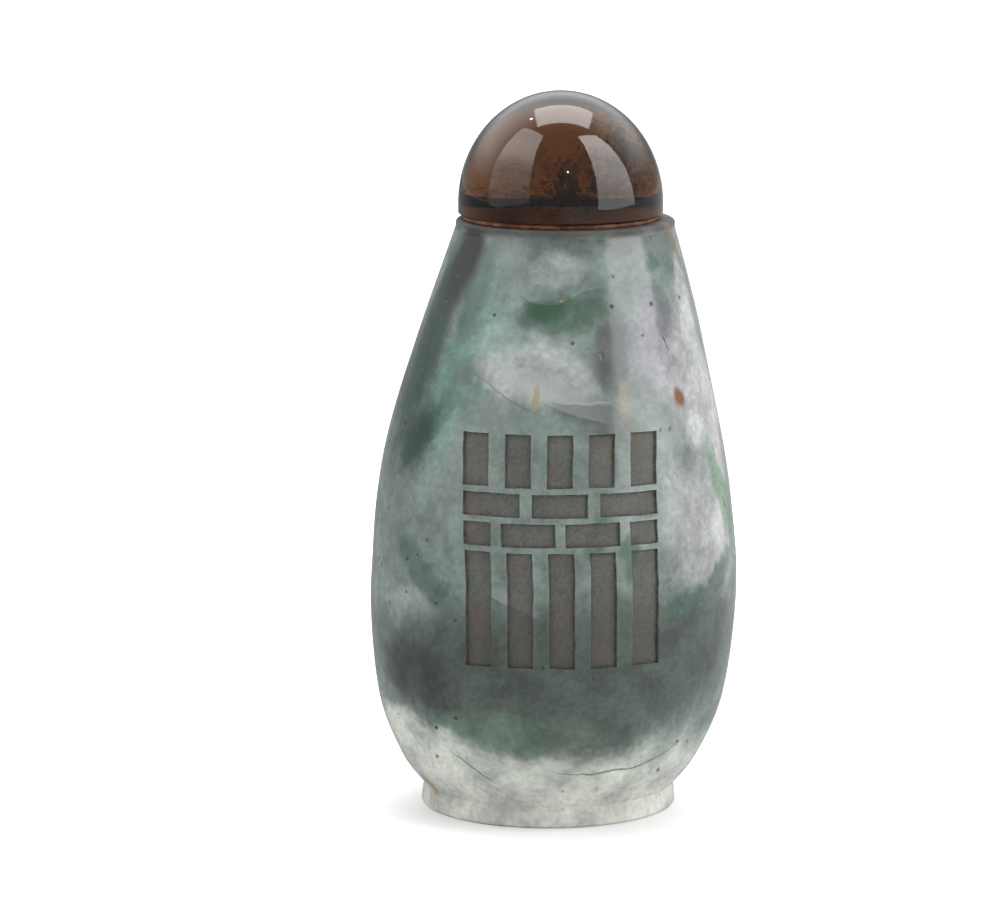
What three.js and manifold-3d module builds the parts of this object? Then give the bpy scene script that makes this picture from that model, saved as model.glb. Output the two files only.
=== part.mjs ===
// A carved jadeite snuff bottle closed by a domed stopper of smoky quartz.
// Millimetres, +Z up. The origin is on the ground under the middle of the belly, and the engraved panel faces -Y.
import * as THREE from "three";
import { mergeVertices } from "three/addons/utils/BufferGeometryUtils.js";
import Module from "manifold-3d";

const wasm = await Module();
wasm.setup();

// ---- Driving dimensions ----

const BOTTLE_HEIGHT = 56;
const BELLY_RADIUS = 17.4;
const BELLY_HEIGHT = 21;
const TOTAL_HEIGHT = 68;

// The body's outline from the foot up to the mouth, as [share of the belly's radius, share of the bottle's height].
const OUTLINE_SHARES = [
  [0.687, 0.036],
  [0.816, 0.089],
  [0.948, 0.196],
  [1.0, 0.375],
  [0.94, 0.589],
  [0.773, 0.804],
  [0.609, 0.989],
];
const RIM_ROUNDING = 0.6;

// The body was cut by hand and leans: its middle drifts towards +X by this much for each mm of height.
const BODY_LEAN = 0.023;
// The hollow was drilled a little straighter, so the mouth isn't quite in the middle of the rim.
const HOLLOW_LEAN = 0.0175;

const FOOT_RADIUS = 12.1;
const FOOT_EDGE = 0.3;
const FOOT_RING_WIDTH = 2.4;
const FOOT_RECESS = 1.2;

const WALL = 3.6;
const BORE_RADIUS = 4;
const CHAMBER_FLOOR = 6.2;
const CHAMBER_TOP = 50.5;
const CHAMBER_SQUARENESS = 5;

const STROKE_DEPTH = 0.3;
const STROKE_GAP = 0.5;
const PANEL_LEFT = -8.15;
const PANEL_WIDTH = 17.9;
const PANEL_TOP = 37.8;
// The engraved rows from the top down: how tall each is, how many strokes it has and how much of its width they take.
// A staggered row starts and ends on a half stroke.
const PANEL_ROWS = [
  { height: 4.8, strokes: 5, cover: 0.68, staggered: false },
  { height: 2.2, strokes: 3, cover: 0.88, staggered: false },
  { height: 2.2, strokes: 3, cover: 0.85, staggered: true },
  { height: 10.8, strokes: 5, cover: 0.68, staggered: false },
];

const COLLAR_RADIUS = 9.2;
const COLLAR_THICKNESS = 0.4;
const PLUG_LENGTH = 4.5;
const PLUG_RADIUS = 3.6;
const PLUG_TAPER = 0.25;

const STOPPER_RADIUS = 9.65;
const STOPPER_SKIRT = 1.1;
const STOPPER_CHAMFER = 0.3;

const BOTTLE_SEGMENTS = 64;
const OUTLINE_STEPS = 24;
const HOLLOW_STEPS = 16;
const STOPPER_SEGMENTS = 48;
const STOPPER_STEPS = 12;

// ---- Helpers ----

// A closed geometry as a solid that can be cut.
function solidFrom(geometry) {
  geometry.deleteAttribute("normal");
  geometry.deleteAttribute("uv");
  const merged = mergeVertices(geometry, 1e-4);
  return new wasm.Manifold(
    new wasm.Mesh({
      numProp: 3,
      vertProperties: merged.attributes.position.array,
      triVerts: new Uint32Array(merged.index.array),
    }),
  );
}

// A cut solid as a geometry that a mesh can show.
function geometryFrom(solid) {
  const mesh = solid.getMesh();
  const geometry = new THREE.BufferGeometry();
  geometry.setAttribute("position", new THREE.BufferAttribute(mesh.vertProperties, 3));
  geometry.setIndex(new THREE.BufferAttribute(mesh.triVerts, 1));
  geometry.computeVertexNormals();
  return geometry;
}

// A profile of [radius, height] pairs turned about the Z axis.
function turned(profile, segments) {
  const points = profile.map(([radius, height]) => new THREE.Vector2(radius, height));
  return new THREE.LatheGeometry(points, segments).rotateX(Math.PI / 2);
}

// Slides each level of a geometry towards +X in proportion to its height above the belly.
function leaned(geometry, lean) {
  const shear = new THREE.Matrix4().makeShear(0, 0, 0, 0, lean, 0);
  return geometry.translate(0, 0, -BELLY_HEIGHT).applyMatrix4(shear).translate(0, 0, BELLY_HEIGHT);
}

// Points on an arc of [radius, height], from one angle to another, in degrees.
function arc(radius, height, size, fromAngle, toAngle, steps = 3) {
  return Array.from({ length: steps + 1 }, (_, i) => {
    const angle = THREE.MathUtils.degToRad(fromAngle + ((toAngle - fromAngle) * i) / steps);
    return [radius + size * Math.cos(angle), height + size * Math.sin(angle)];
  });
}

// ---- The bottle ----

const outline = new THREE.SplineCurve(
  OUTLINE_SHARES.map(([r, z]) => new THREE.Vector2(r * BELLY_RADIUS, z * BOTTLE_HEIGHT)),
);
const outlinePoints = outline.getPoints(OUTLINE_STEPS).map((point) => [point.x, point.y]);

// The body's radius at a height, read between the outline's points.
function bodyRadius(height) {
  const above = outlinePoints.findIndex(([, z]) => z >= height);
  if (above < 1) {
    return outlinePoints.at(above === 0 ? 0 : -1)[0];
  }
  const [r0, z0] = outlinePoints[above - 1];
  const [r1, z1] = outlinePoints[above];
  return THREE.MathUtils.mapLinear(height, z0, z1, r0, r1);
}

// The whole outside: a recessed base in a foot ring, the body, and a flat rim with a rounded edge.
function bottleOutside() {
  const ringInside = FOOT_RADIUS - FOOT_RING_WIDTH;
  const rimRadius = outlinePoints.at(-1)[0];
  const profile = [
    [0, FOOT_RECESS],
    [ringInside - FOOT_EDGE, FOOT_RECESS - FOOT_EDGE],
    [ringInside, 0],
    ...arc(FOOT_RADIUS - FOOT_EDGE, FOOT_EDGE, FOOT_EDGE, -90, 0),
    ...outlinePoints,
    ...arc(rimRadius - RIM_ROUNDING, BOTTLE_HEIGHT - RIM_ROUNDING, RIM_ROUNDING, 15, 90),
    [0, BOTTLE_HEIGHT],
  ];
  return solidFrom(leaned(turned(profile, BOTTLE_SEGMENTS), BODY_LEAN));
}

// The hollow: it follows the outline one wall further in, is rounded off at both ends, and runs up into a drilled mouth.
function bottleHollow() {
  const middle = (CHAMBER_FLOOR + CHAMBER_TOP) / 2;
  const reach = (CHAMBER_TOP - CHAMBER_FLOOR) / 2;
  const profile = [[0, CHAMBER_FLOOR]];
  for (let i = 1; i < HOLLOW_STEPS; i++) {
    const along = -Math.cos((Math.PI * i) / HOLLOW_STEPS);
    const height = middle + reach * along;
    const rounded = (1 - Math.abs(along) ** CHAMBER_SQUARENESS) ** (1 / CHAMBER_SQUARENESS);
    const radius = (bodyRadius(height) - WALL) * rounded;
    if (along < 0 || radius > BORE_RADIUS) {
      profile.push([radius, height]);
    }
  }
  const above = BOTTLE_HEIGHT + 1;
  profile.push([BORE_RADIUS, CHAMBER_TOP], [BORE_RADIUS, above], [0, above]);
  return solidFrom(leaned(turned(profile, BOTTLE_SEGMENTS), HOLLOW_LEAN));
}

// One upright block for each stroke of the panel, reaching from in front of the body to its middle.
function strokeBlocks() {
  const blocks = [];
  let top = PANEL_TOP;
  for (const row of PANEL_ROWS) {
    const width = (PANEL_WIDTH * row.cover) / row.strokes;
    const spaces = row.staggered ? row.strokes : row.strokes - 1;
    const space = (PANEL_WIDTH - width * row.strokes) / spaces;
    let left = PANEL_LEFT;
    for (let i = 0; i <= spaces; i++) {
      const atEnd = i === 0 || i === spaces;
      const stroke = row.staggered && atEnd ? width / 2 : width;
      const block = new THREE.BoxGeometry(stroke, 2 * BELLY_RADIUS, row.height);
      block.translate(left + stroke / 2, -BELLY_RADIUS, top - row.height / 2);
      blocks.push(solidFrom(block));
      left += stroke + space;
    }
    top -= row.height + STROKE_GAP;
  }
  return wasm.Manifold.union(blocks);
}

// The panel's strokes as shallow pockets of even depth: the blocks, less the body with its skin taken off.
function engravedStrokes() {
  const skinned = outlinePoints.map(([radius, height]) => [radius - STROKE_DEPTH, height]);
  const profile = [[0, skinned[0][1]], ...skinned, [0, skinned.at(-1)[1]]];
  const core = solidFrom(leaned(turned(profile, BOTTLE_SEGMENTS), BODY_LEAN));
  return strokeBlocks().subtract(core);
}

function makeBottle() {
  const jadeite = new THREE.MeshStandardMaterial({ color: 0x8b9b95, roughness: 0.3, metalness: 0 });
  const solid = bottleOutside().subtract(bottleHollow()).subtract(engravedStrokes());
  const bottle = new THREE.Mesh(geometryFrom(solid), jadeite);
  bottle.name = "bottle";
  return bottle;
}

// ---- The stopper ----

// The thin collar between rim and dome, with the short plug under it that keeps the stopper in the mouth.
function makeCollar() {
  const lacquer = new THREE.MeshStandardMaterial({ color: 0x6a3520, roughness: 0.45, metalness: 0 });
  const profile = [
    [0, -PLUG_LENGTH],
    [PLUG_RADIUS - PLUG_TAPER, -PLUG_LENGTH],
    [PLUG_RADIUS, 0],
    [COLLAR_RADIUS, 0],
    [COLLAR_RADIUS, COLLAR_THICKNESS],
    [0, COLLAR_THICKNESS],
  ];
  const collar = new THREE.Mesh(turned(profile, STOPPER_SEGMENTS), lacquer);
  collar.name = "collar";
  return collar;
}

// The dome: a chamfered lower edge, a short upright skirt and an elliptical crown.
function makeDome() {
  const quartz = new THREE.MeshStandardMaterial({
    color: 0x5b3d24,
    roughness: 0.08,
    metalness: 0,
    transparent: true,
    opacity: 0.75,
  });
  const height = TOTAL_HEIGHT - BOTTLE_HEIGHT - COLLAR_THICKNESS;
  const profile = [
    [0, 0],
    [STOPPER_RADIUS - STOPPER_CHAMFER, 0],
    [STOPPER_RADIUS, STOPPER_CHAMFER],
  ];
  for (let i = 0; i < STOPPER_STEPS; i++) {
    const angle = (Math.PI / 2) * (i / STOPPER_STEPS);
    const rise = (height - STOPPER_SKIRT) * Math.sin(angle);
    profile.push([STOPPER_RADIUS * Math.cos(angle), STOPPER_SKIRT + rise]);
  }
  profile.push([0, height]);
  const dome = new THREE.Mesh(turned(profile, STOPPER_SEGMENTS), quartz);
  dome.name = "stopper";
  dome.position.z = COLLAR_THICKNESS;
  return dome;
}

// The stopper stands on the rim, over the mouth.
const stopper = new THREE.Group();
stopper.position.set(HOLLOW_LEAN * (BOTTLE_HEIGHT - BELLY_HEIGHT), 0, BOTTLE_HEIGHT);
stopper.add(makeCollar(), makeDome());

const snuffBottle = new THREE.Group();
snuffBottle.add(makeBottle(), stopper);

export default snuffBottle;
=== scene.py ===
# %% [markdown]
# # A jadeite snuff bottle
#
# A snuff bottle is a palm-sized vessel, cut from one stone and hollowed through its mouth. This one
# stands on a low foot ring, carries a panel of engraved strokes on its front and is closed by a
# dome of smoky quartz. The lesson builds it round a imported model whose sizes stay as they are:
# first the camera and the studio, then the stone, the collar and the crystal, each with a finish
# made of nodes.

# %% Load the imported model
import math
from collections import namedtuple

import bmesh
import bpy
import numpy as np
from mathutils import Matrix, Vector, noise


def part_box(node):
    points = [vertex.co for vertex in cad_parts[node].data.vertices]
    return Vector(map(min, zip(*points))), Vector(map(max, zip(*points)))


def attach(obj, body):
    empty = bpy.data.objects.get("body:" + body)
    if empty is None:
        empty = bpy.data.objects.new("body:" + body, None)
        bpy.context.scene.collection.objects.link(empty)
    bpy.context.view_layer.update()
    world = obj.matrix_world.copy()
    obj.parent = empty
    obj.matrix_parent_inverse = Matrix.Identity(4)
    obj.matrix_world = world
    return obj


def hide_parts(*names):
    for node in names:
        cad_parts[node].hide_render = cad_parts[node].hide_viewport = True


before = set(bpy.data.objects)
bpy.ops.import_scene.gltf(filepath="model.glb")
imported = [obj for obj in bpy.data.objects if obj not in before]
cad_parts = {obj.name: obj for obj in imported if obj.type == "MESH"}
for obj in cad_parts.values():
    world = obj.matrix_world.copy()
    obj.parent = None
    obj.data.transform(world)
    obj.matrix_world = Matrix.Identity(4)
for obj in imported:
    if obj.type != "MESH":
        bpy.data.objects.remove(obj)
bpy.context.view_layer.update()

# %% [markdown]
# ## Sizes
#
# The frame is in metres. The stone is easier to think about in millimetres, so shapes are worked
# out in millimetres and scaled once, when a mesh is made. Everything starts from the boxes of the
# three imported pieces.

# %% Sizes read from the frame
MM = 0.001


def box_mm(node):
    """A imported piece's lowest and highest corner in millimetres."""
    low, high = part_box(node)
    return low / MM, high / MM


bottle_high = box_mm("bottle")[1]
collar_low, collar_high = box_mm("collar")
stopper_low, stopper_high = box_mm("stopper")

BOTTLE_HEIGHT = bottle_high.z
BELLY_RADIUS = bottle_high.y
BELLY_HEIGHT = 0.375 * BOTTLE_HEIGHT
STOPPER_AXIS = (stopper_low.x + stopper_high.x) / 2
print("bottle", round(BOTTLE_HEIGHT, 2), "mm tall, belly radius", round(BELLY_RADIUS, 2), "mm")

# %% [markdown]
# ## The camera
#
# A long lens, half a metre away and a little above the bottle, keeps the sides nearly upright and
# shows some of the rim. The bottle stands slightly right of the middle, which is done by turning
# the camera and not by shifting its lens.

# %% Camera
CAMERA_PLACE = Vector((0, -0.47, 0.1143))
CAMERA_DIP = math.radians(9.82)
CAMERA_TURN = math.radians(0.62)
LENS = 181.2

camera_data = bpy.data.cameras.new("camera")
camera_data.lens = LENS
camera_data.sensor_width = 36
camera_data.clip_start = 0.01
camera = bpy.data.objects.new("camera", camera_data)
camera.location = CAMERA_PLACE
camera.rotation_euler = (math.pi / 2 - CAMERA_DIP, 0, CAMERA_TURN)
bpy.context.collection.objects.link(camera)
bpy.context.scene.camera = camera
bpy.context.scene.view_settings.view_transform = "Standard"
print("camera", tuple(camera.location))

# %% [markdown]
# ## Nodes as arithmetic
#
# A finish is a graph of nodes, but most of it is arithmetic, and arithmetic reads best as
# arithmetic. `Wire` wraps a node's output and overloads the operators, so `1 - mask` adds a Math
# node. Vectors go through Vector Math. `Finish` owns the material and makes every other node with
# one method.


# %% Wires
class Wire:
    """One output of a node, which can stand in an expression."""

    def __init__(self, finish, socket):
        self.finish = finish
        self.socket = socket
        self.is_vector = socket.type in ("VECTOR", "RGBA")

    def maths(self, operation, *values):
        vectors = any(isinstance(value, Wire) and value.is_vector for value in values)
        kind = "ShaderNodeVectorMath" if vectors else "ShaderNodeMath"
        return self.finish.node(kind, {"operation": operation}, dict(enumerate(values)))

    def __add__(self, other):
        return self.maths("ADD", self, other)

    __radd__ = __add__

    def __sub__(self, other):
        return self.maths("SUBTRACT", self, other)

    def __rsub__(self, other):
        return self.maths("SUBTRACT", other, self)

    def __mul__(self, other):
        return self.maths("MULTIPLY", self, other)

    __rmul__ = __mul__

    def __truediv__(self, other):
        return self.maths("DIVIDE", self, other)

    def scaled(self, factor):
        return self.finish.node("ShaderNodeVectorMath", {"operation": "SCALE"}, {0: self, 3: factor})

    def parts(self):
        """A vector's three numbers."""
        separate = self.finish.node("ShaderNodeSeparateXYZ", {}, {0: self}).socket.node
        return [Wire(self.finish, output) for output in separate.outputs]


# %% Finishes
class Finish:
    """A material, or the world, while it is being built out of nodes."""

    def __init__(self, name, kind="materials"):
        self.owner = getattr(bpy.data, kind).new(name)
        self.owner.use_nodes = True
        self.tree = self.owner.node_tree
        self.tree.nodes.clear()
        output = {"materials": "ShaderNodeOutputMaterial", "worlds": "ShaderNodeOutputWorld"}[kind]
        self.output = self.tree.nodes.new(output)

    def node(self, kind, settings, values, output=0):
        """Adds a node: its settings first, then what its sockets hold or are joined to."""
        node = self.tree.nodes.new(kind)
        for name, setting in settings.items():
            setattr(node, name, setting)
        for key, value in values.items():
            if isinstance(value, Wire):
                self.tree.links.new(value.socket, node.inputs[key])
            else:
                node.inputs[key].default_value = value
        return Wire(self, node.outputs[output])

    def show(self, shader, socket="Surface"):
        self.tree.links.new(shader.socket, self.output.inputs[socket])
        return self.owner

    def mix(self, amount, first, second, blend="MIX"):
        settings = {"data_type": "RGBA", "blend_type": blend}
        return self.node("ShaderNodeMix", settings, {0: amount, 6: first, 7: second}, output=2)

    def ease(self, value, start, end, low=0.0, high=1.0):
        """Goes smoothly from low to high while value goes from start to end."""
        values = {0: value, 1: start, 2: end, 3: low, 4: high}
        return self.node("ShaderNodeMapRange", {"interpolation_type": "SMOOTHSTEP"}, values)

    def clouds(self, place, size, detail=2.0, rough=0.5, output=0):
        """Noise whose lumps are about this many millimetres across."""
        values = {"Vector": place, "Scale": 1 / size, "Detail": detail, "Roughness": rough}
        return self.node("ShaderNodeTexNoise", {}, values, output)

    def drift(self, place, size, reach, detail=2.0):
        """How far noise moves a place: a vector of up to about half of reach each way."""
        return (self.clouds(place, size, detail, output=1) - (0.5, 0.5, 0.5)).scaled(reach)

    def place_mm(self):
        """Where a point of the surface is, in millimetres."""
        return self.node("ShaderNodeTexCoord", {}, {}, output=3).scaled(1 / MM)

    def bump(self, height_mm):
        """A surface's normal, tilted by a height that is given in millimetres."""
        return self.node("ShaderNodeBump", {}, {"Strength": 1.0, "Distance": MM, "Height": height_mm})


# %% [markdown]
# ## The studio
#
# The bottle stands on white, between two tall soft boxes and under a third one. Polished stone and
# crystal show their lamps as clear-edged reflections, so each box is a glowing panel of the right
# size in the right direction, brighter at its top than at its foot. Behind and above, the room is
# white, and near the ground it is dim.


# %% Floor and room
FLOOR_REACH = 6.0
FLOOR_WHITE = 0.85
ROOM_DIM = 0.38
ROOM_FRONT = 0.35
ROOM_BRIGHT = 2.0
ROOM_TURNS = (-0.2, 0.5)
ROOM_RISES = (0.1, 0.5)


def stage_panel(name, finish, corners):
    """A flat panel of the studio, from its corners."""
    mesh = bpy.data.meshes.new(name)
    mesh.from_pydata(corners, [], [tuple(range(len(corners)))])
    mesh.materials.append(finish.owner)
    panel = bpy.data.objects.new(name, mesh)
    bpy.context.collection.objects.link(panel)
    return panel


def rectangle(half_width, half_depth, height=0):
    """The four corners of a level rectangle round the origin."""
    return [(x * half_width, y * half_depth, height) for x, y in ((-1, -1), (1, -1), (1, 1), (-1, 1))]


def make_floor():
    finish = Finish("white_table")
    white = (FLOOR_WHITE, FLOOR_WHITE, FLOOR_WHITE, 1)
    values = {"Base Color": white, "Roughness": 0.9, "Specular IOR Level": 0.2}
    finish.show(finish.node("ShaderNodeBsdfPrincipled", {}, values))
    return stage_panel("floor", finish, rectangle(FLOOR_REACH, FLOOR_REACH))


def make_room():
    finish = Finish("room", "worlds")
    x, y, z = finish.node("ShaderNodeTexCoord", {}, {}).parts()
    behind = finish.ease(y, *ROOM_TURNS, ROOM_FRONT, ROOM_BRIGHT)
    above = finish.ease(z, *ROOM_RISES)
    strength = above * behind + (1 - above) * ROOM_DIM
    finish.show(finish.node("ShaderNodeBackground", {}, {"Color": (1, 1, 1, 1), "Strength": strength}))
    bpy.context.scene.world = finish.owner
    return finish.owner


print("floor", make_floor().name, "and", make_room().name)


# %% Soft boxes
def direction(around, up):
    """A direction by its angle round the bottle, from the front towards +X, and its rise, in degrees."""
    a, e = math.radians(around), math.radians(up)
    return Vector((math.sin(a) * math.cos(e), -math.cos(a) * math.cos(e), math.sin(e)))


def glowing(finish, strength):
    """Makes a finish glow white."""
    finish.show(finish.node("ShaderNodeEmission", {}, {"Color": (1, 1, 1, 1), "Strength": strength}))
    return finish


def box_glow(foot, middle, top):
    """The glow of a soft box at its foot, a quarter of the way up, and from its middle to its top."""
    finish = Finish("soft_box")
    x, y, z = finish.node("ShaderNodeTexCoord", {}, {}).parts()
    strength = finish.ease(y, 0, 0.25, foot, middle) + finish.ease(y, 0.25, 0.5, 0, top - middle)
    return glowing(finish, strength)


def soft_box(name, centre, size, faces, roll, glow):
    """A glowing panel, whose back points the way that faces says."""
    back = direction(*faces)
    across = Vector((0, 0, 1)).cross(back).normalized() if abs(back.z) < 0.99 else Vector((1, 0, 0))
    turn = Matrix((across, back.cross(across), back)).transposed()
    turn = turn @ Matrix.Rotation(math.radians(roll), 3, "Z")
    lamp = stage_panel(name, box_glow(*glow), rectangle(size[0] / 2, size[1] / 2))
    lamp.matrix_world = Matrix.Translation(centre) @ turn.to_4x4()
    lamp.visible_camera = False
    print(name, "glows", glow)
    return lamp


soft_box("left_box", (-0.795, -0.266, 0.93), (0.905, 1.83), (-60.6, 5.2), 9.4, (0.8, 1.4, 3.6))
soft_box("right_box", (1.06, -0.36, 1.34), (0.98, 2.73), (35.3, -6.8), -3.3, (2.2, 4.2, 6.0))
soft_box("top_box", (0.045, 0.30, 1.06), (0.83, 0.6), (0, 90), 0, (6.0, 6.0, 6.0))

# %% [markdown]
# Two small lamps besides give the crystal its sparkles.

# %% Sparkles
SPARKLE_REACH = 1.5
SPARKLE_SIZE = (0.035, 0.035)
SPARKLE_GLOW = (70, 70, 70)
SPARKLES = {"left_sparkle": (-124.9, 62.7), "front_sparkle": (9.4, 34.7)}

for name, place in SPARKLES.items():
    soft_box(name, direction(*place) * SPARKLE_REACH, SPARKLE_SIZE, place, 0, SPARKLE_GLOW)

# %% [markdown]
# Beyond what the camera sees, the table is not white: dark cards lie round the bottle, so that
# polished stone keeps its depth near the ground. They only have to be mirrored, so they are seen by
# glossy rays alone.

# %% Dark cards
CARD_LEFT = 0.30
CARD_RIGHT = 0.55
CARD_TURNS = (-60, 90)
CARD_REACH = 3.0
CARD_HEIGHT = 0.0002
RAY_KINDS = ("camera", "diffuse", "glossy", "transmission", "volume_scatter", "shadow")


def show_only_to(kind, panel):
    """Hides a panel from every kind of ray but one."""
    for other in RAY_KINDS:
        setattr(panel, "visible_" + other, other == kind)
    return panel


def make_cards():
    finish = Finish("dark_cards")
    x, y, z = finish.place_mm().parts()
    strength = finish.ease(x, *CARD_TURNS, CARD_LEFT, CARD_RIGHT)
    corners = rectangle(CARD_REACH, CARD_REACH, CARD_HEIGHT)
    return show_only_to("glossy", stage_panel("dark_cards", glowing(finish, strength), corners))


print("cards", make_cards().name)

# %% [markdown]
# The crystal gathers the low horizon behind it into a band along its foot. A pale card stands
# there, dark at one side, and only what passes through the crystal meets it.

# %% Pale card
PALE_CARD = 1.0
PALE_CARD_DARK = 0.12
PALE_CARD_TURNS = (150, 400)
PALE_CARD_DARK_TOP = (260, 150)
PALE_CARD_REACH = 3.0
PALE_CARD_DISTANCE = 1.0
PALE_CARD_HEIGHT = 0.5


def make_pale_card():
    finish = Finish("pale_card")
    x, y, z = finish.place_mm().parts()
    dark = finish.ease(x, *PALE_CARD_TURNS) * finish.ease(z, *PALE_CARD_DARK_TOP)
    strength = dark * (PALE_CARD_DARK - PALE_CARD) + PALE_CARD
    ends = (-PALE_CARD_REACH, PALE_CARD_REACH)
    corners = [(end, PALE_CARD_DISTANCE, 0) for end in ends]
    corners += [(end, PALE_CARD_DISTANCE, PALE_CARD_HEIGHT) for end in reversed(ends)]
    return show_only_to("transmission", stage_panel("pale_card", glowing(finish, strength), corners))


print("pale card", make_pale_card().name)

# %% [markdown]
# ## The stone's shape
#
# The bottle is turned from an outline of seven points joined by a smooth spline, which is then
# leaned a little, because it was cut by hand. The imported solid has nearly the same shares. A lathe
# could make it, but the panel needs clean edges, so the skin is a grid of rows and columns whose
# lines run exactly along the strokes' sides.

# %% Outline
OUTLINE_SHARES = [
    (0.687, 0.036),
    (0.816, 0.089),
    (0.948, 0.196),
    (1.0, 0.375),
    (0.94, 0.589),
    (0.773, 0.804),
    (0.594, 0.989),
]
SPLINE_STEPS = 600
BODY_LEAN = 0.023
HOLLOW_LEAN = 0.0175
BOW = -0.25
BOW_STILL = 24.0


def smooth_through(points, steps):
    """Points along a Catmull-Rom spline through the given ones."""
    padded = np.array([points[0], *points, points[-1]])
    spans = len(points) - 1
    made = []
    for t in np.linspace(0, spans, steps + 1):
        i = min(int(t), spans - 1)
        w = t - i
        a, b, c, d = padded[i:i + 4]
        start, end = (c - a) / 2, (d - b) / 2
        cubic = 2 * b - 2 * c + start + end
        square = 3 * c - 3 * b - 2 * start - end
        made.append(cubic * w**3 + square * w**2 + start * w + b)
    return np.array(made)


outline = smooth_through([(r * BELLY_RADIUS, z * BOTTLE_HEIGHT) for r, z in OUTLINE_SHARES], SPLINE_STEPS)


def body_radius(height):
    return float(np.interp(height, outline[:, 1], outline[:, 0]))


def lean_at(height, lean):
    """How far the middle has moved towards +X at a height."""
    return lean * (height - BELLY_HEIGHT)


def bow_at(height):
    """How far the outside bows sideways besides, because it was cut by eye."""
    return BOW * math.sin(1.5 * math.pi * max(0, height - BOW_STILL) / (BOTTLE_HEIGHT - BOW_STILL))


print("outline from", outline[0].round(2), "to", outline[-1].round(2))

# %% [markdown]
# ### The engraved panel
#
# Four rows of shallow upright strokes are cut into the front. Each stroke is a flat-bottomed pocket
# of even depth. `engraving` says how deep the cut is at a place, as a share of the full depth, and
# how close the place is to a pocket's edge, where dirt has gathered and shade is painted.

# %% Strokes
Stroke = namedtuple("Stroke", "left right bottom top")
PanelRow = namedtuple("PanelRow", "height strokes cover staggered")

STROKE_DEPTH = 0.3
STROKE_GAP = 0.5
PANEL_LEFT = -8.15
PANEL_WIDTH = 17.9
PANEL_TOP = 37.8
PANEL_ROWS = [
    PanelRow(4.8, 5, 0.68, False),
    PanelRow(2.2, 3, 0.88, False),
    PanelRow(2.2, 3, 0.85, True),
    PanelRow(10.8, 5, 0.68, False),
]
WALL_RUN = 0.07
# how far in from a stroke's wall the dark band of dirt and painted shade reaches
DIRT_AND_SHADE_RUN = 0.15


def lay_out_strokes():
    strokes = []
    top = PANEL_TOP
    for row in PANEL_ROWS:
        width = PANEL_WIDTH * row.cover / row.strokes
        spaces = row.strokes if row.staggered else row.strokes - 1
        space = (PANEL_WIDTH - width * row.strokes) / spaces
        left = PANEL_LEFT
        for i in range(spaces + 1):
            stroke = width / 2 if row.staggered and i in (0, spaces) else width
            strokes.append(Stroke(left, left + stroke, top - row.height, top))
            left += stroke + space
        top -= row.height + STROKE_GAP
    return strokes


strokes = lay_out_strokes()


def engraving(across, height):
    """The share of the full depth, and the share of an edge's dirt and painted shade, at a place on the
    front.
    """
    for s in strokes:
        inside = min(across - s.left, s.right - across, height - s.bottom, s.top - height)
        if inside >= -1e-6:
            depth = min(inside / WALL_RUN, 1)
            dirt_and_shade = 1 - max(0, min((inside - WALL_RUN) / DIRT_AND_SHADE_RUN, 1))
            return max(depth, 0), dirt_and_shade
    return 0.0, 0.0


print(len(strokes), "strokes")

# %% [markdown]
# ### Rows and columns
#
# A column of the grid keeps its distance from the middle of the panel while it crosses the panel,
# so that it can run along a stroke's side, and its angle above and below. Round the back the
# columns are evenly spaced.

# %% Grid lines
ROW_SPACING = 0.42
COLUMN_SPACING = 0.45
BACK_COLUMNS = 180
PANEL_MARGIN = 0.6


def fill_lines(lines, spacing):
    """The given lines, with even ones added so that no gap is wider than spacing."""
    lines = sorted(set(round(line, 4) for line in lines))
    filled = [lines[0]]
    for low, high in zip(lines, lines[1:]):
        count = max(1, math.ceil((high - low) / spacing))
        filled += [low + (high - low) * i / count for i in range(1, count + 1)]
    return filled


def edge_lines(low, high):
    """The lines that one side-to-side or top-to-bottom cut needs."""
    steps = (0, WALL_RUN, WALL_RUN + DIRT_AND_SHADE_RUN)
    return [low + step for step in steps] + [high - step for step in steps]


panel_bottom = min(s.bottom for s in strokes)
panel_right = PANEL_LEFT + PANEL_WIDTH
column_lines = [PANEL_LEFT - PANEL_MARGIN, panel_right + PANEL_MARGIN]
row_lines = [outline[0][1], outline[-1][1]]
for s in strokes:
    column_lines += edge_lines(s.left, s.right)
    row_lines += edge_lines(s.bottom, s.top)
column_lines = fill_lines(column_lines, COLUMN_SPACING)
row_lines = fill_lines(row_lines, ROW_SPACING)


def column_angles(height):
    """The angle of every column at a height, from the panel's left edge round the back to it again."""
    level = max(panel_bottom, min(height, PANEL_TOP))
    radius, middle = body_radius(level), lean_at(level, BODY_LEAN)
    front = [math.asin((line - middle) / radius) for line in column_lines]
    gap = 2 * math.pi - (front[-1] - front[0])
    back = [front[-1] + gap * i / (BACK_COLUMNS + 1) for i in range(1, BACK_COLUMNS + 1)]
    return front + back


print(len(column_lines) + BACK_COLUMNS, "columns and", len(row_lines), "rows")

# %% [markdown]
# ### The skin
#
# The whole bottle is one closed skin: it starts under the middle of the foot, comes out round the
# foot ring, climbs the body, turns in over the rim and goes down the hollow to its floor. The
# polisher's hand shows as a very slight unevenness, which only ever takes stone away.

# %% Profile
FOOT_RADIUS = 12.1
FOOT_EDGE = 0.3
FOOT_RING_WIDTH = 2.4
FOOT_RECESS = 1.2
RIM_ROUNDING = 0.4
WALL = 3.6
BORE_RADIUS = 4.0
CHAMBER_FLOOR = 6.2
CHAMBER_TOP = 50.5
CHAMBER_SQUARENESS = 5
CHAMBER_STEPS = 24
ARC_STEPS = 6
BASE_SHARES = (0.3, 0.6, 0.9)
FOOT_FLAT = (0.12, 1.2)
FOOT_SIDE = ((0.05, 0.9), (0.12, 1.5))
RIM_RINGS = (8.6, 6.8)
MOUTH_CHAMFER = 0.2
WAVINESS = 0.07
WAVE_SIZE = 6.0
HAND_WAVER = 0.06
WAVER_SEED = 5
WAVER_SIZES = (1.3, 6)
SHARP_ANGLE = 35

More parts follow.
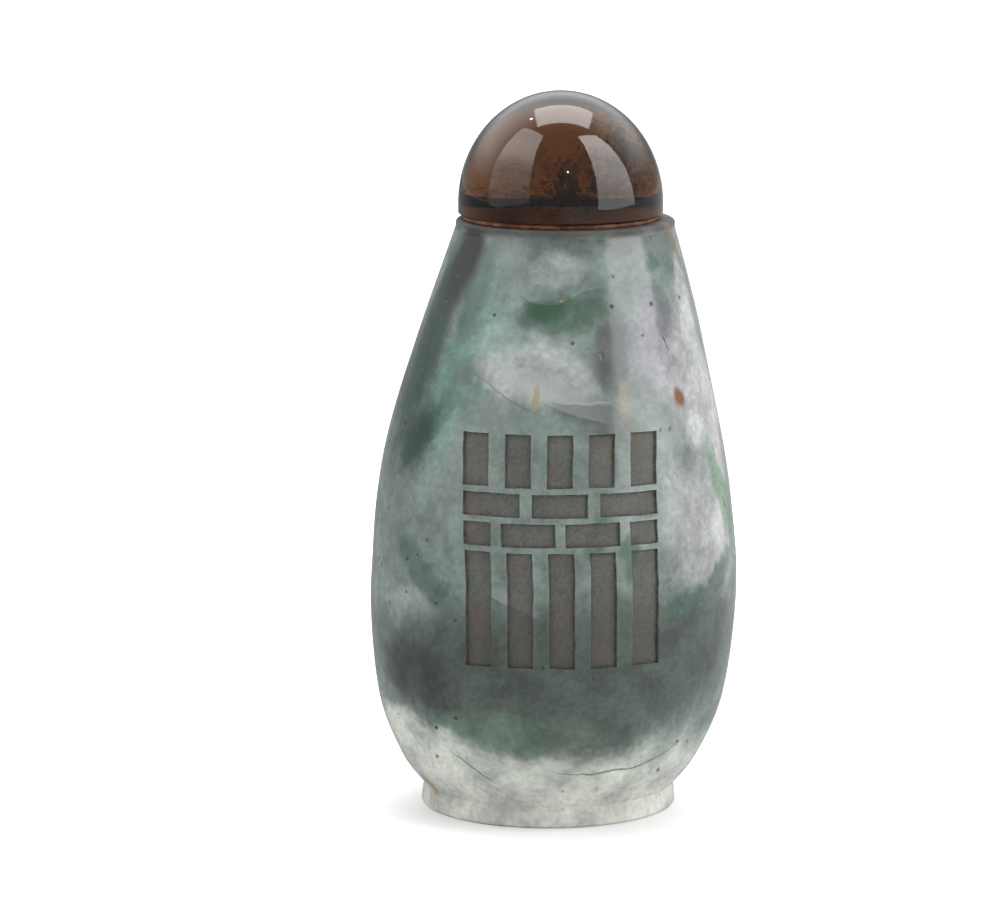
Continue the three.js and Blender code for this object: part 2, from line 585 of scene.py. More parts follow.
Level = namedtuple("Level", "radius height lean engraved")


def arc(radius, height, size, start, end):
    angles = [math.radians(start + (end - start) * i / ARC_STEPS) for i in range(ARC_STEPS + 1)]
    return [(radius + size * math.cos(a), height + size * math.sin(a)) for a in angles]


def bottle_levels():
    ring_inside = FOOT_RADIUS - FOOT_RING_WIDTH
    foot = [(ring_inside * share, FOOT_RECESS) for share in BASE_SHARES]
    foot += arc(ring_inside, FOOT_RECESS / 2, FOOT_RECESS / 2, 100, 180)[1:]
    foot += [(ring_inside + FOOT_FLAT[0], 0), (FOOT_RADIUS - FOOT_FLAT[1], 0)]
    foot += arc(FOOT_RADIUS - FOOT_EDGE, FOOT_EDGE, FOOT_EDGE, -90, 0)
    foot += [(FOOT_RADIUS - inset, height) for inset, height in FOOT_SIDE]
    levels = [Level(r, z, BODY_LEAN, False) for r, z in foot]
    levels += [Level(body_radius(z), z, BODY_LEAN, True) for z in row_lines]
    rim = arc(outline[-1][0] - RIM_ROUNDING, BOTTLE_HEIGHT - RIM_ROUNDING, RIM_ROUNDING, 15, 90)
    levels += [Level(r, z, BODY_LEAN, False) for r, z in rim]
    levels += [Level(r, BOTTLE_HEIGHT, BODY_LEAN, False) for r in RIM_RINGS]
    return levels + hollow_levels()


def hollow_levels():
    middle, reach = (CHAMBER_FLOOR + CHAMBER_TOP) / 2, (CHAMBER_TOP - CHAMBER_FLOOR) / 2
    chamber = []
    for i in range(1, CHAMBER_STEPS):
        along = -math.cos(math.pi * i / CHAMBER_STEPS)
        height = middle + reach * along
        rounded = (1 - abs(along) ** CHAMBER_SQUARENESS) ** (1 / CHAMBER_SQUARENESS)
        radius = (body_radius(height) - WALL) * rounded
        if along < 0 or radius > BORE_RADIUS:
            chamber.append((radius, height))
    bore = [(BORE_RADIUS, CHAMBER_TOP), (BORE_RADIUS, BOTTLE_HEIGHT - MOUTH_CHAMFER)]
    bore += [(BORE_RADIUS + MOUTH_CHAMFER, BOTTLE_HEIGHT)]
    return [Level(r, z, HOLLOW_LEAN, False) for r, z in reversed(chamber + bore)]


print(len(bottle_levels()), "levels")


# %% Skin
def skin(name, start, rings, end):
    """A closed mesh over rings of equally many points, with a single point at each end, in millimetres."""
    size = len(rings[0])
    points = [start] + [point for ring in rings for point in ring] + [end]
    faces = []
    for j in range(size):
        k = (j + 1) % size
        faces.append((0, 1 + k, 1 + j))
        for i in range(len(rings) - 1):
            low, high = 1 + i * size, 1 + (i + 1) * size
            faces.append((low + j, low + k, high + k, high + j))
        last = 1 + (len(rings) - 1) * size
        faces.append((last + j, last + k, len(points) - 1))
    mesh = bpy.data.meshes.new(name)
    mesh.from_pydata([Vector(point) * MM for point in points], [], faces)
    tidy = bmesh.new()
    tidy.from_mesh(mesh)
    bmesh.ops.recalc_face_normals(tidy, faces=tidy.faces)
    tidy.to_mesh(mesh)
    tidy.free()
    mesh.shade_smooth()
    piece = bpy.data.objects.new(name, mesh)
    bpy.context.collection.objects.link(piece)
    print(name, len(mesh.polygons), "faces")
    return piece


def waver(across, height):
    """How far the cutter's hand strayed from a straight line."""
    short, long = WAVER_SIZES
    stray = noise.noise_vector(Vector((across, 0, height)) / short)
    stray += noise.noise_vector(Vector((across, 9, height)) / long)
    return stray.x * HAND_WAVER, stray.z * HAND_WAVER


def bottle_point(level, angle):
    """A point of the skin, how much it is engraved, and how much dirt and painted shade darken it."""
    middle = lean_at(level.height, level.lean)
    bow = bow_at(level.height) if level.lean == BODY_LEAN else 0
    radius, height, depth, dirt_and_shade = level.radius, level.height, 0.0, 0.0
    if level.engraved:
        place = Vector((radius * math.sin(angle), -radius * math.cos(angle), height))
        radius -= WAVINESS * (0.5 + 0.5 * noise.noise(place / WAVE_SIZE))
        if math.cos(angle) > 0.3:
            depth, dirt_and_shade = engraving(middle + level.radius * math.sin(angle), height)
            radius -= STROKE_DEPTH * depth
    point = Vector((middle + bow + radius * math.sin(angle), -radius * math.cos(angle), height))
    if depth > 0 or dirt_and_shade > 0:
        stray_across, stray_up = waver(point.x, point.z)
        point += Vector((stray_across, 0, stray_up))
    return point, depth, dirt_and_shade


def make_bottle():
    noise.seed_set(WAVER_SEED)
    rings, depths, dirt_and_shade_values = [], [0.0], [0.0]
    for level in bottle_levels():
        made = [bottle_point(level, angle) for angle in column_angles(level.height)]
        rings.append([point for point, depth, dirt_and_shade in made])
        depths += [depth for point, depth, dirt_and_shade in made]
        dirt_and_shade_values += [dirt_and_shade for point, depth, dirt_and_shade in made]
    foot_middle = (lean_at(FOOT_RECESS, BODY_LEAN), 0, FOOT_RECESS)
    floor_middle = (lean_at(CHAMBER_FLOOR, HOLLOW_LEAN), 0, CHAMBER_FLOOR)
    bottle = skin("jade_bottle", foot_middle, rings, floor_middle)
    for name, values in (("engraved", depths), ("edge_dirt_and_shade", dirt_and_shade_values)):
        layer = bottle.data.attributes.new(name, "FLOAT", "POINT")
        layer.data.foreach_set("value", values + [0.0])
    return bottle


bottle = make_bottle()
bottle.data.set_sharp_from_angle(angle=math.radians(SHARP_ANGLE))
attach(bottle, "root")
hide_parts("bottle")

# %% [markdown]
# ## Jadeite
#
# Jadeite is a felt of fine crystals. Iron and chrome stain it in clouds, so its colour comes in
# patches with soft sides, some of which end at a healed crack and have one sharp side. Some patches
# are painted light and shade instead, among them a paler foot for light bounced up from the floor,
# a dark rim under the dome and a pale reflection on the upper right limb. One small
# recipe makes all of them: a patch has a place, a length and a fade above and below, and noise
# moves its outline. The place is unrolled: `around` runs along the girth in millimetres, counted
# from the front, and `up` is the height.

# %% Jade colours
GROUND = (0.132, 0.167, 0.152, 1)
CLOUD = (0.30, 0.323, 0.312, 1)
# painted light: a paler colour for the foot that stands for light bounced up from the white floor
FOOT_BOUNCE_LIGHT = (0.47, 0.487, 0.442, 1)
PALE_FLANK = (0.237, 0.245, 0.242, 1)
# pale stone of the right limb, also used as a painted reflection on the upper right limb
PALE_LIMB_AND_REFLECTION = (0.372, 0.382, 0.378, 1)
TEAL = (0.078, 0.157, 0.129, 1)
DEEP_TEAL = (0.03, 0.07, 0.056, 1)
TOP_SHADE = (0.075, 0.085, 0.08, 1)
HAZE = (0.055, 0.09, 0.07, 1)
PALE_TEAL = (0.189, 0.268, 0.244, 1)
GREY_SHADE = (0.075, 0.08, 0.074, 1)
FERN = (0.085, 0.13, 0.095, 1)
LILAC = (0.165, 0.163, 0.182, 1)
PALE_LILAC = (0.287, 0.282, 0.293, 1)
MIST = (0.055, 0.053, 0.062, 1)
FOREST = (0.045, 0.085, 0.065, 1)
DEEP_GREEN = (0.016, 0.038, 0.028, 1)
BLACK_GREEN = (0.006, 0.009, 0.008, 1)
BELT = (0.051, 0.066, 0.057, 1)
CHARCOAL = (0.036, 0.04, 0.038, 1)
LEAF = (0.025, 0.075, 0.038, 1)
SPRING = (0.09, 0.18, 0.11, 1)
CREAM = (0.30, 0.30, 0.23, 1)
OLIVE = (0.08, 0.10, 0.04, 1)
OCHRE = (0.28, 0.20, 0.09, 1)
RUST = (0.16, 0.075, 0.03, 1)
# painted shade with grime: the near-black colour of the rim that lies under the dome and collar
RIM_SHADE_AND_GRIME = (0.014, 0.010, 0.006, 1)
PIT = (0.008, 0.008, 0.006, 1)

# %% [markdown]
# ### The patches
#
# They are laid on in this order, the large soft clouds first and the cracks and stains last. `turn`
# tips a patch anticlockwise in degrees and `bend` lifts its ends. The patches of the back go on in
# the same way, with fewer of them.

# %% Patches
Patch = namedtuple("Patch", "colour around up length above below turn bend strength", defaults=(0, 0, 1))

SOFT_PATCHES = {
    "top shade": Patch(TOP_SHADE, 0, 57.5, 30, 1, 4.6, 0, 0, 0.85),
    "upper cloud": Patch(CLOUD, -0.8, 52.3, 4.5, 1.8, 1.6, 0, 0, 0.5),
    "teal shoulder": Patch(TEAL, -10.6, 43, 11, 4.0, 4.2, 72, 0, 0.95),
    "deep shoulder": Patch(DEEP_TEAL, -10.4, 50.5, 6, 2.4, 2.2, 76, 0, 0.75),
    "deep flank": Patch(DEEP_TEAL, -12.2, 38.6, 4.2, 1.8, 1.8, 55, 0, 0.75),
    "dark limb": Patch(DEEP_GREEN, -17.6, 45, 14, 4.8, 5.2, 84, 0, 1),
    "dark spot": Patch(DEEP_GREEN, -14.8, 36.4, 4.6, 2.6, 3.0, 72, 0, 0.95),
    "pale teal": Patch(PALE_TEAL, -7.0, 46.2, 3.8, 2.2, 2.2, 30, 0, 0.9),
    "under the haze": Patch(PALE_TEAL, -3.8, 46.0, 3.2, 1.4, 1.8, 0, 0, 0.6),
    "middle cloud": Patch(CLOUD, -1.6, 43.1, 7, 4.0, 3.6, -10, 0, 0.95),
    "left cloud": Patch(CLOUD, -6.6, 42.8, 3.2, 2.2, 1.8, -18, 0, 0.9),
    "under the cloud": Patch(GREY_SHADE, 5.2, 38.4, 4.2, 2.6, 2.4, -6, 0, 0.75),
    "upper grey right": Patch(HAZE, 7.5, 50.2, 3.5, 2.2, 2.2, 20, 0, 0.45),
    "lilac shoulder": Patch(LILAC, 10.6, 46.2, 6.5, 4.0, 3.6, 86, 0, 0.9),
    "pale shoulder": Patch(PALE_LILAC, 14.5, 42.5, 7.5, 4.2, 4.5, 88, 0, 0.85),
    "pale limb": Patch(PALE_LIMB_AND_REFLECTION, 18, 38, 9, 4.5, 5, 88, 0, 0.95),
    # painted reflection over pale stone: the upper right limb made paler for the surroundings mirrored
    # there
    "upper limb reflection": Patch(PALE_LIMB_AND_REFLECTION, 17.6, 48.5, 6, 2.6, 2.8, 84, 0, 0.95),
    "right flank": Patch(PALE_FLANK, 14.6, 28.6, 9, 6.0, 5.5, 92, 0, 1),
    "right flank limb": Patch(PALE_LIMB_AND_REFLECTION, 17, 27.5, 7, 3.5, 3.5, 92, 0, 0.7),
    "left flank": Patch(GROUND, -13.5, 27, 10, 5, 6, 80, 0, 0.8),
    "pale left flank": Patch(CLOUD, -13.4, 20.8, 4.0, 2.2, 2.4, 20, 0, 0.5),
    # painted light: the foot ring and the lower left flank are made paler for the floor's bounce light
    "painted foot light": Patch(FOOT_BOUNCE_LIGHT, 0, -1, 60, 11.0, 9, 0, 1, 1),
    "painted left foot light": Patch(FOOT_BOUNCE_LIGHT, -14.4, 8.2, 9, 3.0, 5, -10, 0, 0.75),
    "belt": Patch(BELT, 2.0, 15.6, 27, 8.6, 8.7, 2, 2.2, 1),
    "belt right": Patch(BELT, 11.5, 17.4, 9, 5.2, 6, 6, 1, 0.9),
    "belt shadow": Patch(CHARCOAL, -13, 14.6, 6.5, 4, 4, -12, 0, 0.9),
    "green belt": Patch(FERN, -3.0, 9.8, 11, 2.6, 2.4, -3, 0, 0.8),
    "green belt right": Patch(BELT, 4, 9.6, 6, 2.6, 3.0, 4, 0, 0.5),
    "mist": Patch(MIST, 5.8, 45.0, 4.6, 2.6, 2.4, 84, 0, 0.75),
    "mist right": Patch(MIST, 13, 48.5, 2.6, 1.4, 1.4, 100, 0, 0.35),
    "green haze": Patch(HAZE, 0.0, 48.7, 7.4, 1.6, 2.4, 3, 0, 0.95),
    "panel grey": Patch(GROUND, 4, 33, 8, 6, 6, 0, 0, 0.6),
    "diagonal vein": Patch(FOREST, -11.6, 24, 6.2, 2.0, 2.0, -45, 0, 0.75),
    "green window": Patch(LEAF, 6.3, 26.5, 2.9, 1.1, 1.1, 85, 0, 0.85),
    "green window left": Patch(FOREST, 3.0, 28.5, 3.2, 1.0, 1.0, 85, 0, 0.6),
    "right green arc": Patch(SPRING, 18.2, 31, 7.5, 2.2, 1.8, -66, 0, 0.75),
    "right green sweep": Patch(FOREST, 15.2, 22.8, 7.0, 1.4, 1.8, 24, 0.6, 0.75),
    "shoulder green": Patch(LEAF, 12.3, 52.3, 1.5, 0.8, 0.8, 0, 0, 0.5),
    "rim green": Patch(LEAF, 5.2, 54.8, 1.2, 0.8, 0.8, 0, 0, 0.6),
    "left green freckle": Patch(FOREST, -9.5, 42.5, 2.4, 1.3, 1.3, 0, 0, 0.45),
}

SHARP_PATCHES = {
    "black patch": Patch(BLACK_GREEN, -14.3, 52.9, 5.6, 3.4, 3.6, 80, 0, 1),
    "pale slab": Patch(CLOUD, -0.8, 40.6, 6.2, 3.0, 0.25, -22, 0.6, 0.65),
    "smile": Patch(LEAF, -1.7, 49.2, 3.4, 0.18, 1.7, -3, 1.3, 0.9),
    "smile right": Patch(FOREST, 2.9, 50.4, 3.2, 0.25, 1.6, 17, -0.4, 0.55),
    "grey pocket": Patch(MIST, 2.2, 40.4, 3.6, 0.2, 1.8, -4, 0, 0.4),
    "crack to the panel": Patch(OLIVE, -6.0, 41.6, 6.0, 0.10, 0.10, -27, 0.2, 0.6),
    "crack over the panel": Patch(CREAM, 2.0, 40.7, 4.2, 0.16, 0.16, -3, 0.3, 0.55),
    "right crack": Patch(PIT, 12.4, 45.6, 1.1, 0.15, 0.15, -70, 0, 0.7),
    "right pale crack": Patch(CREAM, 13.8, 44.4, 2.6, 0.15, 0.2, -38, 0, 0.5),
    "panel crack": Patch(CLOUD, -3.6, 22.3, 3.2, 1.6, 0.12, -27, 0, 0.35),
    "foot crack": Patch(OLIVE, -7.6, 6.0, 3.4, 0.10, 0.12, -34, 0.2, 0.8),
    "long foot crack": Patch(OLIVE, 7.2, 5.9, 8.5, 0.11, 0.16, 8, 1.9, 0.75),
    "belt crack": Patch(OLIVE, 0, 9.2, 2.6, 0.14, 0.14, -8, 0, 0.6),
    "left stain": Patch(OCHRE, -2.2, 41.2, 1.6, 0.5, 0.45, 84, 0, 0.6),
    "right stain": Patch(OCHRE, 6.4, 40.8, 2.6, 0.6, 0.65, 88, 0, 0.4),
    "rust spot": Patch(RUST, 13.2, 40.6, 1.3, 0.8, 1.1, -60, 0, 1),
    "orange speck": Patch(OCHRE, 0.1, 49.7, 0.35, 0.2, 0.2, 0, 0, 0.8),
    # painted shade and grime: a dark band over the flat rim and just below it, under the dome's edge
    "rim shade and grime": Patch(RIM_SHADE_AND_GRIME, 0, 57.0, 90, 1, 1.9, 0, 0, 0.97),
    "rim rust": Patch(RUST, 18.5, 54.5, 3.5, 1.2, 1.4, -70, 0, 0.5),
    "foot ochre": Patch(OCHRE, -16.6, 2.8, 1.7, 1.2, 1.3, -50, 0, 0.95),
    "dark dot": Patch(PIT, 9.4, 46.4, 0.28, 0.22, 0.22, 0, 0, 0.95),
    "edge pit": Patch(PIT, 18.9, 29.8, 0.8, 0.2, 0.2, -70, 0, 0.8),
}

BACK_PATCHES = {
    "back teal": Patch(TEAL, -33, 40, 10, 6, 6, 70, 0, 0.7),
    "back cloud": Patch(CLOUD, 34, 42, 9, 6, 6, 100, 0, 0.8),
    "back lilac": Patch(LILAC, 28, 30, 8, 5, 5, 70, 0, 0.7),
    "back belt": Patch(BELT, 36, 15, 14, 5, 6, 6, 1, 0.9),
    "back belt left": Patch(BELT, -34, 16, 14, 6, 6, -6, 1, 0.9),
    "back vein": Patch(FOREST, -30, 28, 9, 1.6, 2.4, 35, 0, 0.8),
    "back green": Patch(LEAF, 31, 48, 4, 0.8, 2.2, -15, 1, 0.6),
    "back crack": Patch(OLIVE, 33, 35, 8, 0.14, 0.16, 22, 0.6, 0.6),
}
print(len(SOFT_PATCHES) + len(SHARP_PATCHES) + len(BACK_PATCHES), "patches")

# %% [markdown]
# ### Painting with patches
#
# A patch's mask is the distance from its middle, measured in its own lengths. Rising above the
# middle line counts against one fade and falling below it against another, which is what gives a
# healed crack its one sharp side.

# %% Painting
GIRTH_RADIUS = 15.0
PATCH_CORE = 0.12


def unrolled(finish, place):
    """The place on the flattened skin: millimetres round the girth, height, and nothing."""
    x, y, z = place.parts()
    middle = (z - BELLY_HEIGHT) * BODY_LEAN
    angle = place.finish.node("ShaderNodeMath", {"operation": "ARCTAN2"}, {0: x - middle, 1: y * -1})
    return finish.node("ShaderNodeCombineXYZ", {}, {0: angle * GIRTH_RADIUS, 1: z})


def patch_mask(finish, flat, patch):
    settings = {"vector_type": "TEXTURE"}
    values = {
        "Vector": flat,
        "Location": (patch.around, patch.up, 0),
        "Rotation": (0, 0, math.radians(patch.turn)),
        "Scale": (patch.length, 1, 1),
    }
    along, across, _ = finish.node("ShaderNodeMapping", settings, values).parts()
    squared = along * along
    rise = across - squared * patch.bend if patch.bend else across
    side = rise.maths("MAXIMUM", rise / patch.above, rise / -patch.below)
    return finish.ease(squared + side * side, 1, PATCH_CORE, 0, patch.strength)


def paint(finish, colour, flat, patches):
    for patch in patches.values():
        colour = finish.mix(patch_mask(finish, flat, patch), colour, patch.colour)
    return colour


# %% [markdown]
# ### The stone's finish
#
# Under the patches lies a grey-green ground, mottled at two sizes and crossed by faint seams.
# Polished jadeite is glossy and lets a little light in, which the subsurface values give. The
# strokes were left matt: their floors are ground rough and hold a brown-grey grime that lets the
# stone's own clouds through, and so was the flat rim. Inside each stroke a darker line runs along
# its edges, which is partly dirt and partly painted shade. Small pits, where grains fell out, are
# dark and sunken.

# %% Jadeite
GRIME = (0.064, 0.056, 0.044, 1)
GRIME_RED = (0.10, 0.058, 0.038, 1)
# the dark colour along the strokes' edges: dirt and painted shade
DIRT_AND_SHADE = (0.014, 0.013, 0.011, 1)
SOFT_DRIFTS = ((5.0, 3.2, 3), (1.2, 1.5, 4))
SHARP_DRIFTS = ((3.0, 1.0, 3), (0.5, 0.16, 2))
MOTTLE_SIZE = 3.4
MOTTLE = (0.74, 1.3)
FELT_SIZE = 0.6
FELT = (0.84, 1.16)
SEAM_SIZE = 8.0
SEAM_WIDTH = 0.012
SEAM_STRENGTH = 0.35
SEAM_SHADE = 0.55
PIT_SIZE = 0.9
PIT_SHARE = 0.10
PIT_DEPTH = 0.05
GRAIN_HEIGHT = 0.004
GRIT_SIZE = 0.28
GRIT_HEIGHT = 0.03
POLISH = 0.19
MATT = 0.75
MATT_RIM = (0.9, 0.4)


def speckle(finish, place, size, share, seed):
    """Scattered round spots: which cells of a cell pattern hold one, and its outline."""
    moved = place + (seed, seed, seed)
    values = {"Vector": moved, "Scale": 1 / size, "Randomness": 1.0}
    distance = finish.node("ShaderNodeTexVoronoi", {}, values)
    lot = finish.node("ShaderNodeTexVoronoi", {}, values, output=1).parts()[0]
    return finish.ease(distance, 0.28, 0.16) * lot.maths("LESS_THAN", lot, share)


def drifted(finish, place, flat, drifts):
    """The flattened place, moved by noise of several sizes, reaches and details."""
    for size, reach, detail in drifts:
        flat = flat + finish.drift(place, size, reach, detail)
    return flat


def stone_colour(finish, place, flat):
    """The stone's own colour with its clouds, cracks and fine felt."""
    soft_flat = drifted(finish, place, flat, SOFT_DRIFTS)
    sharp_flat = drifted(finish, place, flat, SHARP_DRIFTS)
    colour = paint(finish, GROUND, soft_flat, {**BACK_PATCHES, **SOFT_PATCHES})
    shade = finish.ease(finish.clouds(place, MOTTLE_SIZE, 6, 0.6), 0.28, 0.72, *MOTTLE)
    felt = finish.ease(finish.clouds(place, FELT_SIZE, 3, 0.6), 0.2, 0.8, *FELT)
    colour = colour.scaled(shade * felt)
    seam = finish.clouds(place, SEAM_SIZE, 4, 0.6) - 0.5
    seam = finish.ease(seam.maths("ABSOLUTE", seam), SEAM_WIDTH, 0.0)
    seam = seam * finish.ease(finish.clouds(place, 5.0, 2), 0.45, 0.65, 0, SEAM_STRENGTH)
    colour = finish.mix(seam, colour, colour.scaled(SEAM_SHADE))
    return paint(finish, colour, sharp_flat, SHARP_PATCHES)


def stroke_floor(finish, place, stone, grit):
    """The matt floor of a stroke, which grime has darkened."""
    reddish = finish.ease(finish.clouds(place, 4.0, 2), 0.5, 0.68, 0, 0.6)
    grime = finish.mix(reddish, GRIME, GRIME_RED)
    return finish.mix(0.62, stone.scaled(0.6), grime).scaled(finish.ease(grit, 0.3, 0.7, 0.8, 1.2))


def make_jadeite():
    finish = Finish("jadeite")
    place = finish.place_mm()
    stone = stone_colour(finish, place, unrolled(finish, place))
    worn = finish.ease(finish.clouds(place, 9.0, 2), 0.45, 0.62)
    pits = speckle(finish, place, PIT_SIZE, PIT_SHARE, 3.7) * worn
    colour = finish.mix(pits * 0.85, stone, PIT)

    engraved = finish.node("ShaderNodeAttribute", {"attribute_name": "engraved"}, {}, output=2)
    edge_dirt_and_shade = finish.node("ShaderNodeAttribute", {"attribute_name": "edge_dirt_and_shade"}, {}, output=2)
    cut = finish.ease(engraved, 0.02, 0.2)
    grit = finish.clouds(place, GRIT_SIZE, 3, 0.7)
    # painted shade and dirt: a dark line inside each stroke along its edges
    dirt_and_shade = edge_dirt_and_shade * finish.ease(finish.clouds(place, 0.7, 2), 0.35, 0.6, 0.0, 0.5)
    floor = finish.mix(dirt_and_shade, stroke_floor(finish, place, stone, grit), DIRT_AND_SHADE)
    colour = finish.mix(cut, colour, floor)

    felt = finish.clouds(place, 0.55, 3, 0.6)
    rough = finish.ease(felt, 0.3, 0.8, POLISH - 0.04, POLISH + 0.05) + pits * 0.4
    below_rim = BOTTLE_HEIGHT - place.parts()[2]
    matt = cut.maths("MAXIMUM", cut, finish.ease(below_rim, *MATT_RIM))
    rough = rough * (1 - matt) + matt * MATT
    height = pits * -PIT_DEPTH + felt * GRAIN_HEIGHT + cut * grit * GRIT_HEIGHT
    values = {
        "Base Color": colour,
        "Roughness": rough,
        "Normal": finish.bump(height),
        "IOR": 1.66,
        "Subsurface Weight": 0.35,
        "Subsurface Radius": (1.0, 1.1, 1.0),
        "Subsurface Scale": 1.2 * MM,
    }
    return finish.show(finish.node("ShaderNodeBsdfPrincipled", {}, values))


jadeite = make_jadeite()
bottle.data.materials.append(jadeite)
print("jadeite has", len(jadeite.node_tree.nodes), "nodes")

# %% [markdown]
# ## Collar
#
# A thin lacquered ring sits between the rim and the crystal and shows as a red-brown line. It is
# made in one with the plug that keeps the stopper in the mouth.

# %% Lathe
LATHE_COLUMNS = 160


def lathe(name, profile, axis, columns=LATHE_COLUMNS):
    """A solid turned about an upright axis from radius and height pairs that start and end on it."""
    angles = [2 * math.pi * i / columns for i in range(columns)]
    rings = [[(axis + r * math.sin(a), -r * math.cos(a), z) for a in angles] for r, z in profile[1:-1]]
    return skin(name, (axis, 0, profile[0][1]), rings, (axis, 0, profile[-1][1]))


# %% Collar
COLLAR_RADIUS = (collar_high.y - collar_low.y) / 2
COLLAR_TOP = collar_high.z
PLUG_RADIUS = 3.6
PLUG_TAPER = 0.25
COLLAR_EDGE = 0.12


LACQUER_DARK = (0.11, 0.035, 0.018, 1)
LACQUER_WORN = (0.28, 0.11, 0.05, 1)


def make_lacquer():
    finish = Finish("collar_lacquer")
    place = finish.place_mm()
    wear = finish.ease(finish.clouds(place, 1.2, 4, 0.6), 0.4, 0.65)
    rough = finish.ease(wear, 0, 1, 0.35, 0.6)
    grain = finish.bump(finish.clouds(place, 0.25, 2) * 0.02)
    colour = finish.mix(wear, LACQUER_DARK, LACQUER_WORN)
    values = {"Base Color": colour, "Roughness": rough, "Normal": grain}
    return finish.show(finish.node("ShaderNodeBsdfPrincipled", {}, values))


def make_collar():
    profile = [(0, collar_low.z), (PLUG_RADIUS - PLUG_TAPER, collar_low.z), (PLUG_RADIUS, BOTTLE_HEIGHT)]
    profile += [(COLLAR_RADIUS - COLLAR_EDGE, BOTTLE_HEIGHT)]
    profile += arc(COLLAR_RADIUS - COLLAR_EDGE, BOTTLE_HEIGHT + COLLAR_EDGE, COLLAR_EDGE, -80, 0)
    profile += arc(COLLAR_RADIUS - COLLAR_EDGE, COLLAR_TOP - COLLAR_EDGE, COLLAR_EDGE, 0, 90)
    profile += [(COLLAR_RADIUS / 2, COLLAR_TOP), (0, COLLAR_TOP)]
    collar = lathe("lacquered_collar", profile, STOPPER_AXIS)
    collar.data.materials.append(make_lacquer())
    return collar


collar = make_collar()
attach(collar, "root")
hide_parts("collar")

# %% [markdown]
# ## Smoky quartz dome
#
# The dome is clear crystal, so its colour belongs inside it: light that crosses more crystal comes
# out browner. A Volume Absorption node does that, and the surface stays clear. The dome rests on
# the collar with a hair of air between them.

# %% Dome
DOME_RADIUS = (stopper_high.y - stopper_low.y) / 2
DOME_TOP = stopper_high.z
DOME_SKIRT = 1.1
DOME_CHAMFER = 0.2
DOME_STEPS = 64
AIR_GAP = 0.02
SMOKE = (0.52, 0.35, 0.09, 1)
SMOKE_DENSITY = 360


def make_quartz():
    finish = Finish("smoky_quartz")
    values = {"Base Color": (1, 1, 1, 1), "Roughness": 0.02, "IOR": 1.54, "Transmission Weight": 1.0}
    finish.show(finish.node("ShaderNodeBsdfPrincipled", {}, values))
    smoke = finish.node("ShaderNodeVolumeAbsorption", {}, {"Color": SMOKE, "Density": SMOKE_DENSITY})
    return finish.show(smoke, "Volume")


def make_dome():
    base = COLLAR_TOP + AIR_GAP
    shoulder = COLLAR_TOP + DOME_SKIRT
    profile = [(0, base), (DOME_RADIUS * 0.5, base), (DOME_RADIUS - DOME_CHAMFER, base)]
    profile += [(DOME_RADIUS, COLLAR_TOP + DOME_CHAMFER)]
    for i in range(DOME_STEPS):
        angle = math.pi / 2 * i / DOME_STEPS
        rise = (DOME_TOP - shoulder) * math.sin(angle)
        profile.append((DOME_RADIUS * math.cos(angle), shoulder + rise))
    profile.append((0, DOME_TOP))
    dome = lathe("quartz_dome", profile, STOPPER_AXIS, 200)
    dome.data.set_sharp_from_angle(angle=math.radians(30))
    dome.data.materials.append(make_quartz())
    return dome


dome = make_dome()
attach(dome, "root")
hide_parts("stopper")

# %% [markdown]
# ### What the crystal holds
#
# Smoky quartz is rarely clean. Low in the middle of this dome stands a column of dark needles over
# a dark floor, the right side is crossed by brown veils, thinner veils fill the foot and a few pale
# specks catch the light. All are clouds of small flakes, scattered from a fixed seed, that differ
# in place, size, colour and thickness.

# %% Flakes
FlakeCloud = namedtuple("FlakeCloud", "middle spread count size stretch tilt colour alpha")

NEEDLE = (0.03, 0.015, 0.008, 1)
FLOOR_FLAKE = (0.03, 0.014, 0.008, 1)
FRONT_FLAKE = (0.17, 0.085, 0.045, 1)
VEIL = (0.14, 0.06, 0.028, 1)
WIDE_VEIL = (0.16, 0.08, 0.035, 1)
LEFT_VEIL = (0.14, 0.075, 0.04, 1)
SPECK = (0.6, 0.45, 0.32, 1)
FLAKE_SHADE = (0.01, 0.006, 0.004, 1)

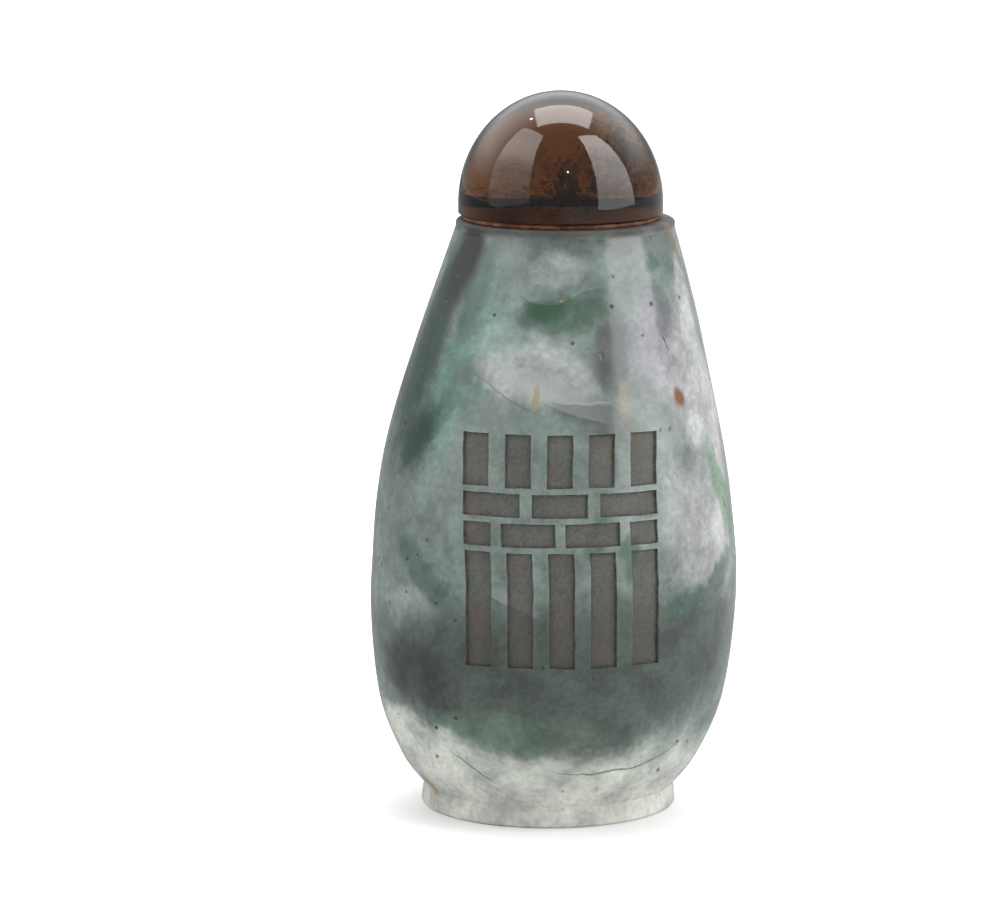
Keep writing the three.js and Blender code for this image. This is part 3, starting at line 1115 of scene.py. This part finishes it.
FLAKE_CLOUDS = {
    "dark_needles": FlakeCloud((0.3, 0.6, 1.8), (0.8, 1.6, 1.7), 120, 0.18, 3.0, 20, NEEDLE, 0.45),
    "dark_floor_flakes": FlakeCloud((0.6, 0.0, 1.6), (3.4, 2.6, 0.8), 170, 0.26, 2.0, 60, FLOOR_FLAKE, 0.5),
    "front_flakes": FlakeCloud((1.8, -5.2, 0.8), (5.0, 1.6, 0.7), 300, 0.26, 1.6, 60, FRONT_FLAKE, 0.5),
    "brown_veils": FlakeCloud((4.0, 0.5, 4.6), (2.0, 2.4, 2.6), 330, 0.26, 2.4, 42, VEIL, 0.5),
    "wide_veils": FlakeCloud((2.8, 0.8, 2.6), (5.0, 3.6, 2.4), 230, 0.8, 1.5, 60, WIDE_VEIL, 0.16),
    "left_veils": FlakeCloud((-3.4, 0.0, 1.4), (3.6, 3.6, 1.2), 110, 0.6, 1.0, 60, LEFT_VEIL, 0.2),
    "pale_specks": FlakeCloud((2.6, -1.0, 3.8), (2.6, 2.4, 2.6), 70, 0.07, 1.5, 80, SPECK, 0.6),
}
FLAKE_SEED = 41
FLAKE_LIMIT = 0.86
FLAKE_ROUGHNESS = 0.5


def in_dome(point):
    """Whether a place above the collar lies well inside the crystal."""
    height = DOME_TOP - COLLAR_TOP
    return 0.3 < point[2] and math.hypot(point[0], point[1]) / DOME_RADIUS < FLAKE_LIMIT * math.sqrt(
        max(0, 1 - (point[2] / height) ** 2)
    )


def make_flakes(name, cloud, chance):
    """Thin five-sided flakes round a place, longer than wide and tilted off the upright at random."""
    points, faces = [], []
    while len(faces) < cloud.count:
        place = np.array(cloud.middle) + chance.normal(0, 0.5, 3) * np.array(cloud.spread)
        if not in_dome(place):
            continue
        size = cloud.size * chance.uniform(0.35, 1.3)
        lean = Matrix.Rotation(math.radians(chance.normal(0, cloud.tilt)), 3, "X")
        turn = Matrix.Rotation(chance.uniform(0, 2 * math.pi), 3, "Z") @ lean
        faces.append(tuple(range(len(points), len(points) + 5)))
        for i in range(5):
            angle = 2 * math.pi * i / 5
            reach = size * chance.uniform(0.6, 1.1)
            up = math.sin(angle) * cloud.stretch / 2
            corner = turn @ Vector((reach * math.cos(angle), 0, reach * up))
            points.append(Vector(place) + corner + Vector((STOPPER_AXIS, 0, COLLAR_TOP)))
    mesh = bpy.data.meshes.new(name)
    mesh.from_pydata([point * MM for point in points], [], faces)
    finish = Finish(name)
    place = finish.place_mm()
    colour = finish.mix(finish.ease(finish.clouds(place, 0.8, 3), 0.35, 0.65), cloud.colour, FLAKE_SHADE)
    values = {"Base Color": colour, "Roughness": FLAKE_ROUGHNESS, "Alpha": cloud.alpha}
    mesh.materials.append(finish.show(finish.node("ShaderNodeBsdfPrincipled", {}, values)))
    flakes = bpy.data.objects.new(name, mesh)
    bpy.context.collection.objects.link(flakes)
    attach(flakes, "root")
    print(name, len(faces), "flakes")
    return flakes


chance = np.random.default_rng(FLAKE_SEED)
for name, cloud in FLAKE_CLOUDS.items():
    make_flakes(name, cloud, chance)
